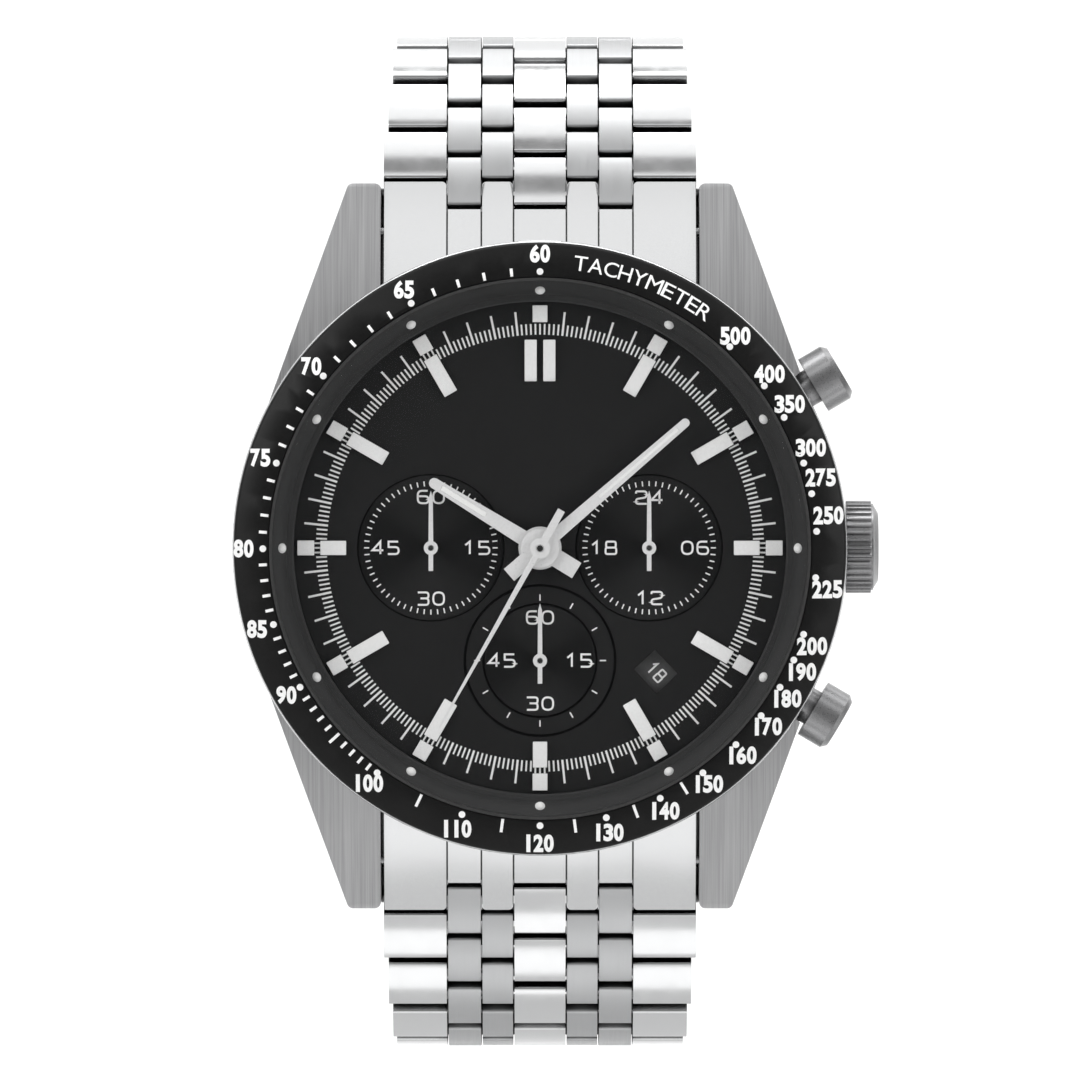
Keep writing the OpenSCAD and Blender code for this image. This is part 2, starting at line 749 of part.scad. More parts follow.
case_middle();
case_back();
gaskets();
bezel_ring();
bezel_insert();
crystal();
flange_ring();
dial();
hour_indices();
movement_holder();
main_plate();
train_bridge();
battery();
coils_and_circuit();
case_tubes();
end_links();
spring_bars();
hour_hand();
hour_wheel();
minute_hand();
minute_wheel();
chrono_seconds_hand();
small_seconds_hand();
minute_counter_hand();
hour24_hand();
date_ring();
crown();
crown_stem();
setting_lever();
pusher_upper();
pusher_lower();
clasp_cover();
clasp_middle_blade();
clasp_inner_blade();
clasp_button_left();
clasp_button_right();
for (i = [1:row_count]) {
    upper_row(i);
    lower_row(i);
}
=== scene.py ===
"""Looks of the chronograph wristwatch: printing, lume, finishes, light and camera."""

import json
import math
import random

import bmesh
import bpy
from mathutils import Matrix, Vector


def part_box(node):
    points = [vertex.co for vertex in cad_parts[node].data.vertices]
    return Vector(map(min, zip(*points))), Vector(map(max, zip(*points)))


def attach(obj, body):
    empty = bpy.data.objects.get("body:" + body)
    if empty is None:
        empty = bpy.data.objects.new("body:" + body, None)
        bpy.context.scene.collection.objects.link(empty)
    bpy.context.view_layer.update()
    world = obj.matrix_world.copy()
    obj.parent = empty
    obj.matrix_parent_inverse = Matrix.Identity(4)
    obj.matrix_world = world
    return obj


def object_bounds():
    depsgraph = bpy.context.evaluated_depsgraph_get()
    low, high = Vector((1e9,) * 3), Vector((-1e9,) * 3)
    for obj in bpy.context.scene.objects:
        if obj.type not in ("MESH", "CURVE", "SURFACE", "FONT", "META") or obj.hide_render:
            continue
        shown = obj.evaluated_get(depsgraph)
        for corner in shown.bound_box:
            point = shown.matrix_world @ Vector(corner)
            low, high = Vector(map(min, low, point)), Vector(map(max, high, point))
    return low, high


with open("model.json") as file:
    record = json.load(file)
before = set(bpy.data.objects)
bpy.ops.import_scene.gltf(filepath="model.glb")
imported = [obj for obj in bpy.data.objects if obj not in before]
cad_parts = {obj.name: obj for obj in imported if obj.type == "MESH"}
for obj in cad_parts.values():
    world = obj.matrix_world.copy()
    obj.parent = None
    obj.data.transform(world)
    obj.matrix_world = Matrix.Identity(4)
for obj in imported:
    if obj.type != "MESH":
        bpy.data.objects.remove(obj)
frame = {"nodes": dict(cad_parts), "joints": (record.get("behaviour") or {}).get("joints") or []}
cad_low, cad_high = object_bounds()
nodes = frame["nodes"]
joints = {j["name"]: j for j in frame["joints"]}
MM = 0.001
random.seed(7)

# ---- places, in millimetres and dial up: x to 3 o'clock, y to 12 o'clock, z out of the dial ----


def front_of(node):
    """Height of a node's face towards the viewer."""
    return -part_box(node)[0].y / MM


def dial_centre(joint):
    """Dial position of a hand's axis."""
    x, _, z = joints[joint]["pos_m"]
    return x / MM, z / MM


DIAL_TOP = front_of("dial")
FLANGE_TOP = front_of("flange_ring")
INSERT_TOP = front_of("bezel_insert")
INSERT_OUT_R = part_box("bezel_insert")[1].x / MM
INSERT_SLOPE_R = INSERT_OUT_R - 2.06  # the insert is flat inside this radius
INSERT_SLOPE = 0.43
FLANGE_FOOT_R, FLANGE_RUN, FLANGE_RISE = 17.7, 0.9, 0.95
PRINT_T = 0.025  # how far printing stands proud of a surface, and how far it reaches into it
LAYER = 0.006  # strokes that cross are raised by this much, so that no faces coincide
GLYPH_OUT, GLYPH_IN = 0.06, 0.08  # letters stand across a bent surface, so they are thicker
LEFT_SUB = dial_centre("minute_counter_turn")
RIGHT_SUB = dial_centre("hour24_turn")
LOW_SUB = dial_centre("small_seconds_turn")
SUB_FLOOR = DIAL_TOP - 0.12


def insert_height(r):
    """The insert's face: a flat inner edge and a long slope to the rim."""
    return INSERT_TOP - INSERT_SLOPE * max(r - INSERT_SLOPE_R, 0)


def flange_height(r):
    """The flange's face rises from the dial to the crystal."""
    return FLANGE_TOP - FLANGE_RISE * (1 - min(max((r - FLANGE_FOOT_R) / FLANGE_RUN, 0), 1))


def around(r, clock_deg):
    """Dial position at a radius and an angle clockwise from 12."""
    a = math.radians(clock_deg)
    return r * math.sin(a), r * math.cos(a)


def circle_points(cx, cy, r, n):
    """Points round a circle, anticlockwise from 3 o'clock."""
    return [(cx + r * math.cos(2 * math.pi * i / n), cy + r * math.sin(2 * math.pi * i / n))
            for i in range(n)]


# ---- mesh building ----


class Shape:
    """Gathers thin solids in dial coordinates and makes one object of them."""

    def __init__(self):
        self.verts = []
        self.faces = []

    def prism(self, outline, low, high):
        """A closed solid over an outline. Heights are numbers or functions of the radius."""
        n = len(outline)
        start = len(self.verts)
        for height in (low, high):
            for x, y in outline:
                z = height(math.hypot(x, y)) if callable(height) else height
                self.verts.append((x, -z, y))
        bottom = [start + i for i in range(n)]
        top = [start + n + i for i in range(n)]
        twice_area = sum(outline[i - 1][0] * outline[i][1] - outline[i][0] * outline[i - 1][1]
                         for i in range(n))
        if twice_area < 0:
            bottom.reverse()
            top.reverse()
        self.faces.append(tuple(top))
        self.faces.append(tuple(reversed(bottom)))
        for i in range(n):
            j = (i + 1) % n
            self.faces.append((bottom[i], bottom[j], top[j], top[i]))

    def bar(self, clock_deg, r0, r1, width, low, high, centre=(0.0, 0.0)):
        """A radial bar from one radius to another."""
        cx, cy = centre
        ux, uy = around(1, clock_deg)
        vx, vy = uy * width / 2, -ux * width / 2
        self.prism(
            [(cx + ux * r0 - vx, cy + uy * r0 - vy), (cx + ux * r0 + vx, cy + uy * r0 + vy),
             (cx + ux * r1 + vx, cy + uy * r1 + vy), (cx + ux * r1 - vx, cy + uy * r1 - vy)], low, high)

    def bent_bar(self, clock_deg, r0, knee, r1, width, low, high):
        """A bar that follows a surface which changes slope at the knee."""
        self.bar(clock_deg, r0, knee, width, low, high)
        self.bar(clock_deg, knee, r1, width, low, high)

    def disc(self, cx, cy, r, low, high, n=28):
        self.prism(circle_points(cx, cy, r, n), low, high)

    def ring_faces(self, start, rings, n):
        """Quads that join rings of n points each; the first point's index is start."""
        for k in range(rings):
            for i in range(n):
                a, b = start + k * n + i, start + k * n + (i + 1) % n
                self.faces.append((a, b, b + n, a + n))

    def dome(self, cx, cy, r, low, high, n=28, rings=5):
        """A rounded dot: rings of points closing to the top."""
        start = len(self.verts)
        for k in range(rings):
            t = math.pi / 2 * k / rings
            z = low + (high - low) * math.sin(t)
            self.verts += [(x, -z, y) for x, y in circle_points(cx, cy, r * math.cos(t), n)]
        self.verts.append((cx, -high, cy))
        self.ring_faces(start, rings - 1, n)
        last, top = start + (rings - 1) * n, len(self.verts) - 1
        for i in range(n):
            self.faces.append((last + i, last + (i + 1) % n, top))
        self.faces.append(tuple(start + i for i in reversed(range(n))))

    def stroke(self, points, width, low, high, closed=False):
        """A pen line of even width along points."""
        n = len(points)
        left, right = [], []
        for i in range(n):
            p = Vector(points[i])
            before = Vector(points[i - 1]) if (closed or i > 0) else None
            after = Vector(points[(i + 1) % n]) if (closed or i < n - 1) else None
            d1 = (p - before).normalized() if before is not None else (after - p).normalized()
            d2 = (after - p).normalized() if after is not None else d1
            m = (d1 + d2).normalized()
            side = Vector((-m.y, m.x)) * (width / 2 / max(m.dot(d1), 0.3))
            left.append(p + side)
            right.append(p - side)
        start = len(self.verts)
        for i in range(n):
            for q, z in ((left[i], low), (right[i], low), (right[i], high), (left[i], high)):
                self.verts.append((q.x, -z, q.y))
        for i in range(n if closed else n - 1):
            a, b = start + 4 * i, start + 4 * ((i + 1) % n)
            for k in range(4):
                m = (k + 1) % 4
                self.faces.append((a + k, a + m, b + m, b + k))
        if not closed:
            end = start + 4 * (n - 1)
            self.faces.append((start + 3, start + 2, start + 1, start))
            self.faces.append((end, end + 1, end + 2, end + 3))

    def glyph_mesh(self, body, cap, width, weight, place, depth):
        """Built-in letters scaled to a cap height and width, then set down by place(x, y)."""
        curve = bpy.data.curves.new("glyph", "FONT")
        curve.body = body
        curve.align_x = "CENTER"
        curve.align_y = "CENTER"
        curve.extrude = 0.5
        curve.offset = weight
        curve.resolution_u = 5
        ob = bpy.data.objects.new("glyph", curve)
        mesh = ob.to_mesh()
        xs = [v.co.x for v in mesh.vertices]
        ys = [v.co.y for v in mesh.vertices]
        mx, my = (min(xs) + max(xs)) / 2, (min(ys) + max(ys)) / 2
        sx = width / (max(xs) - min(xs))
        sy = cap / (max(ys) - min(ys))
        start = len(self.verts)
        for v in mesh.vertices:
            x, y = place((v.co.x - mx) * sx, (v.co.y - my) * sy)
            z = depth(math.hypot(x, y)) + (GLYPH_OUT if v.co.z > 0 else -GLYPH_IN)
            self.verts.append((x, -z, y))
        for p in mesh.polygons:
            self.faces.append(tuple(start + i for i in p.vertices))
        ob.to_mesh_clear()
        bpy.data.objects.remove(ob)
        bpy.data.curves.remove(curve)

    def build(self, name, body, finish, smooth=False):
        """Makes the object, sets its material and hands it to a body."""
        mesh = bpy.data.meshes.new(name)
        mesh.from_pydata([(x * MM, y * MM, z * MM) for x, y, z in self.verts], [], self.faces)
        bm = bmesh.new()
        bm.from_mesh(mesh)
        bmesh.ops.remove_doubles(bm, verts=bm.verts, dist=1e-8)
        bmesh.ops.recalc_face_normals(bm, faces=bm.faces)
        bm.to_mesh(mesh)
        bm.free()
        ob = bpy.data.objects.new(name, mesh)
        bpy.context.scene.collection.objects.link(ob)
        ob.data.materials.append(finish)
        if smooth:
            for p in mesh.polygons:
                p.use_smooth = True
            smooth_by_angle(ob)
        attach(ob, body)
        return ob


def rounded(points, radius, closed=False, steps=5):
    """A pen path with its corners rounded."""
    out = []
    n = len(points)
    for i, p in enumerate(points):
        if not closed and i in (0, n - 1):
            out.append(p)
            continue
        p = Vector(p)
        a, b = Vector(points[i - 1]) - p, Vector(points[(i + 1) % n]) - p
        cut = min(radius, a.length / 2, b.length / 2)
        s, e = p + a.normalized() * cut, p + b.normalized() * cut
        for k in range(steps + 1):
            t = k / steps
            q = s * (1 - t) ** 2 + p * 2 * t * (1 - t) + e * t ** 2
            out.append((q.x, q.y))
    return out


# Pen paths of the dial's thin square numerals, in a cell 1 wide and 1 high. Each stroke is a list
# of points, whether it is closed, and how much its corners are rounded
BOX = [(0, 0), (1, 0), (1, 1), (0, 1)]
DIGITS = {
    "0": [(BOX, True, 0.42)],
    "1": [([(0.2, 0.72), (0.62, 1), (0.62, 0)], False, 0)],
    "2": [([(0, 0.82), (0, 1), (1, 1), (1, 0.52), (0, 0.38), (0, 0), (1, 0)], False, 0.3)],
    "3": [([(0, 1), (1, 1), (1, 0.52), (0.25, 0.52)], False, 0.22),
          ([(0.25, 0.52), (1, 0.52), (1, 0), (0, 0)], False, 0.22)],
    "4": [([(0.74, 0), (0.74, 1), (0, 0.3), (1.02, 0.3)], False, 0)],
    "5": [([(0.95, 1), (0.06, 1), (0.06, 0.5)], False, 0),
          ([(0.06, 0.56), (1, 0.56), (1, 0), (0, 0)], False, 0.3)],
    "6": [([(0.92, 1), (0, 1), (0, 0), (1, 0), (1, 0.56), (0, 0.56)], False, 0.35)],
    "7": [([(0, 1), (1, 1), (0.35, 0)], False, 0)],
    "8": [([(0.05, 0.52), (0.95, 0.52), (0.95, 1), (0.05, 1)], True, 0.16),
          ([(0, 0), (1, 0), (1, 0.52), (0, 0.52)], True, 0.16)],
    "9": [([(0.08, 0), (1, 0), (1, 1), (0, 1), (0, 0.46), (1, 0.46)], False, 0.35)],
}


def numeral(shape, text, cx, cy, cap, width, gap, pen, low, high, turn=0):
    """Square numerals centred on a point and turned clockwise."""
    a = -math.radians(turn)
    total = len(text) * width + (len(text) - 1) * gap
    for i, ch in enumerate(text):
        x0 = -total / 2 + i * (width + gap) + pen / 2
        for layer, (points, closed, radius) in enumerate(DIGITS[ch]):
            path = [(x0 + x * (width - pen), -cap / 2 + pen / 2 + y * (cap - pen)) for x, y in points]
            if radius:
                path = rounded(path, radius * min(width, cap), closed)
            path = [(cx + x * math.cos(a) - y * math.sin(a), cy + x * math.sin(a) + y * math.cos(a))
                    for x, y in path]
            shape.stroke(path, pen, low, high + LAYER * layer, closed)


# ---- materials ----


def new_material(name):
    """A material with its nodes, links and main shader."""
    mat = bpy.data.materials.new(name)
    mat.use_nodes = True
    return mat, mat.node_tree.nodes, mat.node_tree.links, mat.node_tree.nodes["Principled BSDF"]


def object_noise(ns, ln, scale, stretch=(1, 1, 1), detail=4.0, rough=0.6):
    """Noise over the object's own coordinates, in metres."""
    coord = ns.new("ShaderNodeTexCoord")
    mapping = ns.new("ShaderNodeMapping")
    mapping.inputs["Scale"].default_value = stretch
    noise = ns.new("ShaderNodeTexNoise")
    noise.inputs["Scale"].default_value = scale
    noise.inputs["Detail"].default_value = detail
    noise.inputs["Roughness"].default_value = rough
    ln.new(coord.outputs["Object"], mapping.inputs["Vector"])
    ln.new(mapping.outputs["Vector"], noise.inputs["Vector"])
    return noise.outputs["Fac"]


def spread(ns, ln, value, low, high, start=0.3, end=0.7):
    """Stretches a value to a range; noise mostly lies between 0.3 and 0.7."""
    node = ns.new("ShaderNodeMapRange")
    node.inputs["From Min"].default_value = start
    node.inputs["From Max"].default_value = end
    node.inputs["To Min"].default_value = low
    node.inputs["To Max"].default_value = high
    ln.new(value, node.inputs["Value"])
    return node.outputs["Result"]


def blend_colour(ns, ln, value, a, b):
    node = ns.new("ShaderNodeMix")
    node.data_type = "RGBA"
    node.inputs["A"].default_value = (*a, 1)
    node.inputs["B"].default_value = (*b, 1)
    ln.new(value, node.inputs["Factor"])
    return node.outputs["Result"]


def math_node(ns, ln, operation, value, second=None):
    """A math node on one output, with a number or another output as its second value."""
    node = ns.new("ShaderNodeMath")
    node.operation = operation
    ln.new(value, node.inputs[0])
    if isinstance(second, float):
        node.inputs[1].default_value = second
    elif second is not None:
        ln.new(second, node.inputs[1])
    return node.outputs[0]


def bump(ns, ln, value, strength, distance):
    node = ns.new("ShaderNodeBump")
    node.inputs["Strength"].default_value = strength
    node.inputs["Distance"].default_value = distance
    ln.new(value, node.inputs["Height"])
    return node.outputs["Normal"]


def shade(name, dark, light, rough, metallic=0.0, scale=3000, stretch=(1, 1, 1),
          grain=0.15, depth=4e-6, **constants):
    """A finish with a fine grain in colour, roughness and bump."""
    mat, ns, ln, bsdf = new_material(name)
    fine = object_noise(ns, ln, scale, stretch)
    broad = object_noise(ns, ln, 180, detail=2.0)
    ln.new(blend_colour(ns, ln, spread(ns, ln, fine, 0, 1), dark, light), bsdf.inputs["Base Color"])
    mixed = math_node(ns, ln, "ADD", spread(ns, ln, fine, *rough), spread(ns, ln, broad, -0.03, 0.03))
    ln.new(mixed, bsdf.inputs["Roughness"])
    ln.new(bump(ns, ln, fine, grain, depth), bsdf.inputs["Normal"])
    bsdf.inputs["Metallic"].default_value = metallic
    for key, value in constants.items():
        bsdf.inputs[key.replace("_", " ")].default_value = value
    return mat


def dark_in_gaps(ns, ln, colour, distance, bsdf):
    """Painted shade: darkens a metal's colour by ambient occlusion where neighbouring pieces close in
    on it.
    """
    near = ns.new("ShaderNodeAmbientOcclusion")
    near.samples = 6
    near.inputs["Distance"].default_value = distance
    # Painted shade: the colour goes to near black as the ambient occlusion closes in.
    mix = ns.new("ShaderNodeMix")
    mix.data_type = "RGBA"
    mix.inputs["A"].default_value = (0.01, 0.01, 0.01, 1)
    ln.new(math_node(ns, ln, "POWER", near.outputs["AO"], 1.6), mix.inputs["Factor"])
    ln.new(colour, mix.inputs["B"])
    ln.new(mix.outputs["Result"], bsdf.inputs["Base Color"])


def gap_steel(name, dark, light, rough, distance):
    """Fine satin steel with painted shade: its colour darkens in its grooves and joints."""
    mat, ns, ln, bsdf = new_material(name)
    fine = object_noise(ns, ln, 12000)
    colour = blend_colour(ns, ln, spread(ns, ln, fine, 0, 1), dark, light)
    # painted shade in the grooves and joints
    dark_in_gaps(ns, ln, colour, distance * MM, bsdf)
    ln.new(spread(ns, ln, fine, *rough), bsdf.inputs["Roughness"])
    ln.new(bump(ns, ln, fine, 0.08, 2e-6), bsdf.inputs["Normal"])
    bsdf.inputs["Metallic"].default_value = 1.0
    return mat


MIDDLE_COLUMN_EDGE, OUTER_COLUMN_EDGE = 1.85, 6.5


def column_mask(ns, ln):
    """1 on the bracelet's polished columns and 0 on its satin ones, by distance from the middle."""
    coord = ns.new("ShaderNodeTexCoord")
    split = ns.new("ShaderNodeSeparateXYZ")
    ln.new(coord.outputs["Object"], split.inputs["Vector"])
    dist = math_node(ns, ln, "ABSOLUTE", split.outputs["X"])
    middle = math_node(ns, ln, "LESS_THAN", dist, MIDDLE_COLUMN_EDGE * MM)
    outer = math_node(ns, ln, "GREATER_THAN", dist, OUTER_COLUMN_EDGE * MM)
    return math_node(ns, ln, "ADD", middle, outer)


def link_steel():
    """Bracelet steel: bright columns in the middle and at the edges, satin ones between, with painted
    shade in the gaps between links.
    """
    mat, ns, ln, bsdf = new_material("link_steel")
    mask = column_mask(ns, ln)
    lines = object_noise(ns, ln, 9000, (1, 0.03, 0.03))
    haze = object_noise(ns, ln, 700, detail=3.0)
    mix = ns.new("ShaderNodeMix")
    mix.data_type = "FLOAT"
    ln.new(mask, mix.inputs["Factor"])
    ln.new(spread(ns, ln, lines, 0.3, 0.42), mix.inputs["A"])
    ln.new(spread(ns, ln, haze, 0.13, 0.2), mix.inputs["B"])
    ln.new(mix.outputs["Result"], bsdf.inputs["Roughness"])
    colour = blend_colour(ns, ln, mask, (0.47, 0.475, 0.48), (0.7, 0.705, 0.71))
    # painted shade darkens the links' colour where they close in on one another
    dark_in_gaps(ns, ln, colour, 0.9 * MM, bsdf)
    ln.new(bump(ns, ln, lines, 0.12, 3e-6), bsdf.inputs["Normal"])
    bsdf.inputs["Metallic"].default_value = 1.0
    return mat


def snailed(name, centre):
    """Dark disc colour with a painted sheen, lighter above and below the centre than beside it, as fine
    circular grooves would catch the light.
    """
    mat, ns, ln, bsdf = new_material(name)
    coord = ns.new("ShaderNodeTexCoord")
    move = ns.new("ShaderNodeMapping")
    move.inputs["Location"].default_value = (-centre[0] * MM, 0, -centre[1] * MM)
    move.inputs["Scale"].default_value = (1, 0, 1)
    unit = ns.new("ShaderNodeVectorMath")
    unit.operation = "NORMALIZE"
    split = ns.new("ShaderNodeSeparateXYZ")
    ln.new(coord.outputs["Object"], move.inputs["Vector"])
    ln.new(move.outputs["Vector"], unit.inputs[0])
    ln.new(unit.outputs["Vector"], split.inputs["Vector"])
    # painted sheen: lighter where the direction from the centre points up or down
    painted_sheen = spread(ns, ln, math_node(ns, ln, "ABSOLUTE", split.outputs["Z"]), 0, 1, 0.45, 1.0)
    fine = object_noise(ns, ln, 5000)
    colour = blend_colour(ns, ln, painted_sheen, (0.003, 0.003, 0.003), (0.014, 0.014, 0.014))
    ln.new(colour, bsdf.inputs["Base Color"])
    ln.new(spread(ns, ln, fine, 0.44, 0.56), bsdf.inputs["Roughness"])
    ln.new(bump(ns, ln, fine, 0.1, 2e-6), bsdf.inputs["Normal"])
    bsdf.inputs["Specular IOR Level"].default_value = 0.2
    return mat


def clear_glass():
    """The crystal, kept almost clear so that the dial shows through."""
    mat, ns, ln, bsdf = new_material("crystal_glass")
    haze = object_noise(ns, ln, 400)
    ln.new(spread(ns, ln, haze, 0.02, 0.05), bsdf.inputs["Roughness"])
    bsdf.inputs["Base Color"].default_value = (0.02, 0.022, 0.025, 1)
    bsdf.inputs["Alpha"].default_value = 0.05
    bsdf.inputs["Specular IOR Level"].default_value = 0.16
    return mat


GREY = (0.60, 0.605, 0.61)
BRUSHED = (1, 0.012, 0.012)  # noise stretched along y and z, so that its lines run up the case
BRUSHED_UP = shade("steel_brushed_up", (0.32, 0.32, 0.325), (0.45, 0.45, 0.455), (0.32, 0.44), 1.0,
                   9000, BRUSHED, 0.2, 3e-6)
BRUSHED_ROUND = shade("steel_satin", (0.48, 0.485, 0.49), GREY, (0.26, 0.38), 1.0, 4000)
# Crown and pusher steel, with painted shade in their grooves and joints.
CROWN_STEEL = gap_steel("crown_steel", (0.27, 0.27, 0.275), (0.36, 0.36, 0.365), (0.26, 0.36), 0.5)
BRUSHED_CLASP = shade("steel_brushed_clasp", (0.46, 0.46, 0.46), GREY, (0.22, 0.36), 1.0,
                      9000, BRUSHED, 0.15, 3e-6)
POLISHED = shade("steel_polished", (0.66, 0.665, 0.67), (0.72, 0.725, 0.73), (0.1, 0.16), 1.0,
                 900, grain=0.04)
LINK = link_steel()
# End-link steel, with painted shade where the end links meet the lugs and the first rows.
END_LINK = gap_steel("end_link_steel", (0.66, 0.665, 0.67), (0.72, 0.725, 0.73), (0.13, 0.19), 0.9)
INSERT = shade("insert_black", (0.003, 0.003, 0.003), (0.005, 0.005, 0.005), (0.4, 0.5), 0.0, 4000,
               Specular_IOR_Level=0.2)
FLANGE = shade("flange_grey", (0.024, 0.024, 0.024), (0.042, 0.042, 0.042), (0.5, 0.62), 0.0, 14000,
               grain=0.4, depth=6e-6, Specular_IOR_Level=0.25)
DIAL = shade("dial_black", (0.009, 0.009, 0.009), (0.012, 0.012, 0.012), (0.5, 0.62), 0.0, 9000,
             Specular_IOR_Level=0.2)
# Painted shade: near-black rings at the sunk subdials' edges and in the lower subdial's grooves.
GROOVE_SHADE = shade("groove_painted_shade", (0.001, 0.001, 0.001), (0.002, 0.002, 0.002), (0.6, 0.7), 0.0, 9000,
               Specular_IOR_Level=0.05)
WHITE = shade("white_print", (0.86, 0.86, 0.855), (0.93, 0.93, 0.925), (0.45, 0.55), 0.0, 2500,
              grain=0.1)
LUME = shade("lume_white", (0.88, 0.88, 0.87), (0.95, 0.95, 0.94), (0.55, 0.7), 0.0, 6000,
             grain=0.4, depth=6e-6)
MARKER = shade("marker_white", (0.86, 0.86, 0.855), (0.93, 0.93, 0.925), (0.3, 0.42), 0.0, 5000,
               grain=0.2)
HAND = shade("hand_silver", (0.82, 0.82, 0.82), (0.9, 0.9, 0.9), (0.28, 0.38), 0.2, 5000, grain=0.1)
DARK_PIN = shade("pin_dark", (0.02, 0.02, 0.02), (0.04, 0.04, 0.04), (0.3, 0.4), 0.6)
DATE = shade("date_grey", (0.075, 0.075, 0.075), (0.1, 0.1, 0.1), (0.5, 0.6), 0.0, 8000, grain=0.3,
             Specular_IOR_Level=0.25)
RUBBER = shade("gasket_rubber", (0.012, 0.012, 0.012), (0.03, 0.03, 0.03), (0.6, 0.75))
HOLDER = shade("holder_plastic", (0.6, 0.6, 0.58), (0.7, 0.7, 0.68), (0.4, 0.5))
BRASS = shade("movement_brass", (0.55, 0.42, 0.18), (0.72, 0.56, 0.27), (0.2, 0.32), 1.0)
COIL = shade("coil_wire", (0.35, 0.13, 0.05), (0.5, 0.22, 0.09), (0.25, 0.4), 0.2, 6000, (0.05, 1, 1))
GLASS = clear_glass()

FINISH = {
    "case_middle": BRUSHED_UP, "case_back": BRUSHED_ROUND, "gaskets": RUBBER, "bezel_ring": POLISHED,
    "bezel_insert": INSERT, "crystal": GLASS, "flange_ring": FLANGE, "dial": DIAL,
    "hour_indices": MARKER, "movement_holder": HOLDER, "main_plate": BRASS, "train_bridge": BRASS,
    "battery": BRUSHED_ROUND, "coils_and_circuit": COIL, "case_tubes": BRUSHED_ROUND,
    "end_links": END_LINK, "spring_bars": BRUSHED_ROUND, "hour_hand": HAND, "hour_wheel": BRASS,
    "minute_hand": HAND, "minute_wheel": BRASS, "chrono_seconds_hand": HAND,
    "small_seconds_hand": HAND, "minute_counter_hand": HAND, "hour24_hand": HAND, "date_ring": DATE,
    "crown": CROWN_STEEL, "crown_stem": BRUSHED_ROUND, "setting_lever": BRUSHED_ROUND,
    "pusher_upper": CROWN_STEEL, "pusher_lower": CROWN_STEEL, "clasp_cover": BRUSHED_CLASP,
    "clasp_middle_blade": BRUSHED_CLASP, "clasp_inner_blade": BRUSHED_CLASP,
    "clasp_button_left": POLISHED, "clasp_button_right": POLISHED,
}


# ---- edges of the CAD pieces ----

SHARP_ANGLE, BEVEL_ANGLE, FLAT_ANGLE = math.radians(32), math.radians(33), math.radians(0.6)


def smoothing_group():
    """Geometry nodes that shade smooth and keep edges sharper than an angle crisp."""
    group = bpy.data.node_groups.new("smooth_by_angle", "GeometryNodeTree")
    group.interface.new_socket("Geometry", in_out="INPUT", socket_type="NodeSocketGeometry")
    group.interface.new_socket("Geometry", in_out="OUTPUT", socket_type="NodeSocketGeometry")
    ns, ln = group.nodes, group.links
    start, end = ns.new("NodeGroupInput"), ns.new("NodeGroupOutput")
    faces = ns.new("GeometryNodeSetShadeSmooth")
    faces.domain = "FACE"
    angle = ns.new("GeometryNodeInputMeshEdgeAngle")
    flat = ns.new("FunctionNodeCompare")
    flat.operation = "LESS_THAN"
    flat.inputs["B"].default_value = SHARP_ANGLE
    edges = ns.new("GeometryNodeSetShadeSmooth")
    edges.domain = "EDGE"
    ln.new(start.outputs[0], faces.inputs["Geometry"])
    ln.new(faces.outputs[0], edges.inputs["Geometry"])
    ln.new(angle.outputs["Unsigned Angle"], flat.inputs["A"])
    ln.new(flat.outputs[0], edges.inputs["Shade Smooth"])
    ln.new(edges.outputs[0], end.inputs[0])
    return group


SMOOTHING = smoothing_group()


def smooth_by_angle(ob):
    ob.modifiers.new("smooth", "NODES").node_group = SMOOTHING


def crisp(ob, width):
    """Joins the tessellated faces, rounds the hard edges by a small radius and smooths the rest."""
    weld = ob.modifiers.new("weld", "WELD")
    weld.merge_threshold = 1e-7
    flat = ob.modifiers.new("flat", "DECIMATE")
    flat.decimate_type = "DISSOLVE"
    flat.angle_limit = FLAT_ANGLE
    if width:
        edge = ob.modifiers.new("edge", "BEVEL")
        edge.width = width * MM
        edge.segments = 2
        edge.limit_method = "ANGLE"
        edge.angle_limit = BEVEL_ANGLE
    smooth_by_angle(ob)
    if width:
        flat_faces = ob.modifiers.new("flat_faces", "WEIGHTED_NORMAL")
        flat_faces.weight = 90
        flat_faces.keep_sharp = True


# Edge radius of each node in millimetres
ROW_EDGE = 0.12
EDGE = {
    "case_middle": 0.12, "case_back": 0.1, "bezel_ring": 0.04, "bezel_insert": 0.03, "crystal": 0.03,
    "dial": 0.02, "hour_indices": 0.05, "end_links": 0.12, "hour_hand": 0.03, "minute_hand": 0.03,
    "chrono_seconds_hand": 0.02, "small_seconds_hand": 0.02, "minute_counter_hand": 0.02,
    "hour24_hand": 0.02, "crown": 0.04, "pusher_upper": 0.08, "pusher_lower": 0.08,
    "clasp_cover": 0.15, "clasp_middle_blade": 0.06, "clasp_inner_blade": 0.06,
    "clasp_button_left": 0.1, "clasp_button_right": 0.1,
}

for name, ob in nodes.items():
    is_row = "_row_" in name
    ob.data.materials.clear()
    ob.data.materials.append(LINK if is_row else FINISH[name])
    crisp(ob, ROW_EDGE if is_row else EDGE.get(name, 0))


# ---- dial printing ----

HOUR_BAR_HALF = 0.52  # half the width of an applied hour marker
TICK_IN_R, SHORT_TICK_R, LONG_TICK_R = 14.85, 15.6, 16.5
TICKS = 300  # five to a minute


